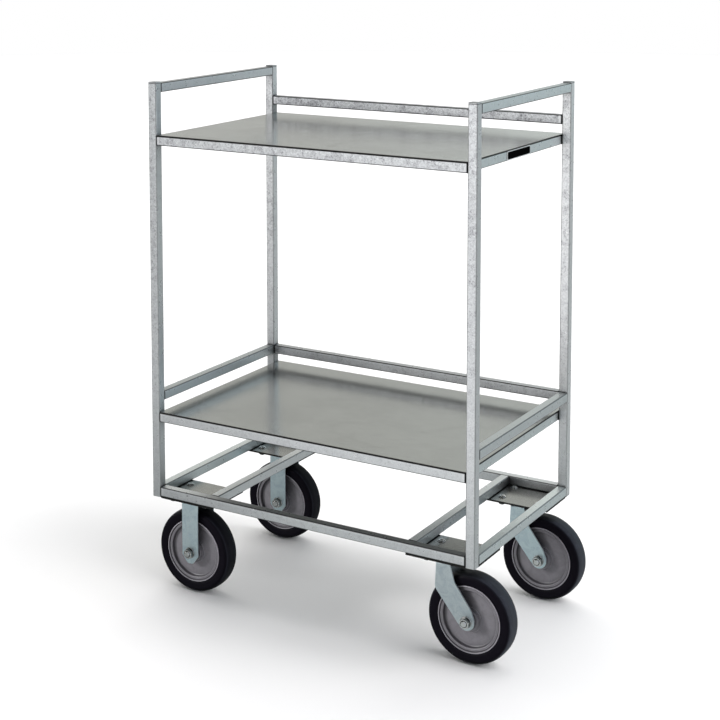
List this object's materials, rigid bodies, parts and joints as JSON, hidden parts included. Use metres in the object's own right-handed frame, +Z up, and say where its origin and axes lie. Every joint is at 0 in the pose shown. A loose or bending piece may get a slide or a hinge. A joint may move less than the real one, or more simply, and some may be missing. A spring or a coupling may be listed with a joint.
{
  "type": "plant trolley",
  "caption": "Open square-tube trolley with shelves, end push handles, low guard rails and large rubber-tyred casters, swivelling at one end, for moving potted plants.",
  "frame": {"origin": "middle of the footprint of the bounding box at rest, on the floor", "axes": "+X towards the swivel casters, +Y towards the guarded back, +Z up"},
  "size_m": [0.838, 0.466, 1.105],
  "materials": {
    "galvanised_tube": "galvanised, mottled, semi-matt",
    "galvanised_sheet": "galvanised sheet, fine grain, semi-gloss",
    "zinc_plated_steel": "zinc plated, blue-grey, satin",
    "cap_metal": "galvanised, semi-matt",
    "black_rubber": "black rubber, satin",
    "grey_plastic": "grey moulded plastic, satin",
    "black_plate": "blank black plate",
    "zinc_fastener": "bright zinc plated"
  },
  "bodies": {
    "trolley_frame": {"axle_bolt_back_left": "zinc_fastener", "axle_bolt_front_left": "zinc_fastener", "base_frame": "galvanised_tube", "base_rail_left": "galvanised_tube", "base_rail_right": "galvanised_tube", "caster_bolt_back_left_1": "zinc_fastener", "caster_bolt_back_left_2": "zinc_fastener", "caster_bolt_back_left_3": "zinc_fastener", "caster_bolt_back_left_4": "zinc_fastener", "caster_bolt_back_right_1": "zinc_fastener", "caster_bolt_back_right_2": "zinc_fastener", "caster_bolt_back_right_3": "zinc_fastener", "caster_bolt_back_right_4": "zinc_fastener", "caster_bolt_front_left_1": "zinc_fastener", "caster_bolt_front_left_2": "zinc_fastener", "caster_bolt_front_left_3": "zinc_fastener", "caster_bolt_front_left_4": "zinc_fastener", "caster_bolt_front_right_1": "zinc_fastener", "caster_bolt_front_right_2": "zinc_fastener", "caster_bolt_front_right_3": "zinc_fastener", "caster_bolt_front_right_4": "zinc_fastener", "caster_bracket_back_left": "zinc_plated_steel", "caster_bracket_front_left": "zinc_plated_steel", "lower_guard_back": "galvanised_tube", "lower_guard_left": "galvanised_tube", "lower_guard_right": "galvanised_tube", "lower_shelf_frame": "galvanised_tube", "lower_shelf_sheet": "galvanised_sheet", "mounting_plate_back_left": "galvanised_tube", "mounting_plate_back_right": "galvanised_tube", "mounting_plate_front_left": "galvanised_tube", "mounting_plate_front_right": "galvanised_tube", "name_plate": "black_plate", "post_back_left": "galvanised_tube", "post_back_right": "galvanised_tube", "post_cap_back_left": "cap_metal", "post_cap_back_right": "cap_metal", "post_cap_front_left": "cap_metal", "post_cap_front_right": "cap_metal", "post_front_left": "galvanised_tube", "post_front_right": "galvanised_tube", "push_handle_left": "galvanised_tube", "push_handle_right": "galvanised_tube", "swivel_plate_back_right": "zinc_plated_steel", "swivel_plate_front_right": "zinc_plated_steel", "upper_guard_back": "galvanised_tube", "upper_shelf_frame": "galvanised_tube", "upper_shelf_sheet": "galvanised_sheet"},
    "wheel_front_left": {"tyre_front_left": "black_rubber", "rim_front_left": "grey_plastic"},
    "caster_fork_front_right": {"swivel_fork_front_right": "zinc_plated_steel", "axle_bolt_front_right": "zinc_fastener"},
    "wheel_front_right": {"tyre_front_right": "black_rubber", "rim_front_right": "grey_plastic"},
    "wheel_back_left": {"tyre_back_left": "black_rubber", "rim_back_left": "grey_plastic"},
    "caster_fork_back_right": {"swivel_fork_back_right": "zinc_plated_steel", "axle_bolt_back_right": "zinc_fastener"},
    "wheel_back_right": {"tyre_back_right": "black_rubber", "rim_back_right": "grey_plastic"}
  },
  "joints": [
    {"name": "roll_front_left", "type": "hinge", "parent": "trolley_frame", "child": "wheel_front_left", "pos_m": [-0.329, -0.1725, 0.09], "axis": [0, 1, 0], "continuous": true},
    {"name": "swivel_front_right", "type": "hinge", "parent": "trolley_frame", "child": "caster_fork_front_right", "pos_m": [0.286, -0.1725, 0.19], "axis": [0, 0, 1], "continuous": true},
    {"name": "roll_front_right", "type": "hinge", "parent": "caster_fork_front_right", "child": "wheel_front_right", "pos_m": [0.329, -0.1725, 0.09], "axis": [0, 1, 0], "continuous": true},
    {"name": "roll_back_left", "type": "hinge", "parent": "trolley_frame", "child": "wheel_back_left", "pos_m": [-0.329, 0.1725, 0.09], "axis": [0, 1, 0], "continuous": true},
    {"name": "swivel_back_right", "type": "hinge", "parent": "trolley_frame", "child": "caster_fork_back_right", "pos_m": [0.286, 0.1725, 0.19], "axis": [0, 0, 1], "continuous": true},
    {"name": "roll_back_right", "type": "hinge", "parent": "caster_fork_back_right", "child": "wheel_back_right", "pos_m": [0.329, 0.1725, 0.09], "axis": [0, 1, 0], "continuous": true}
  ]
}
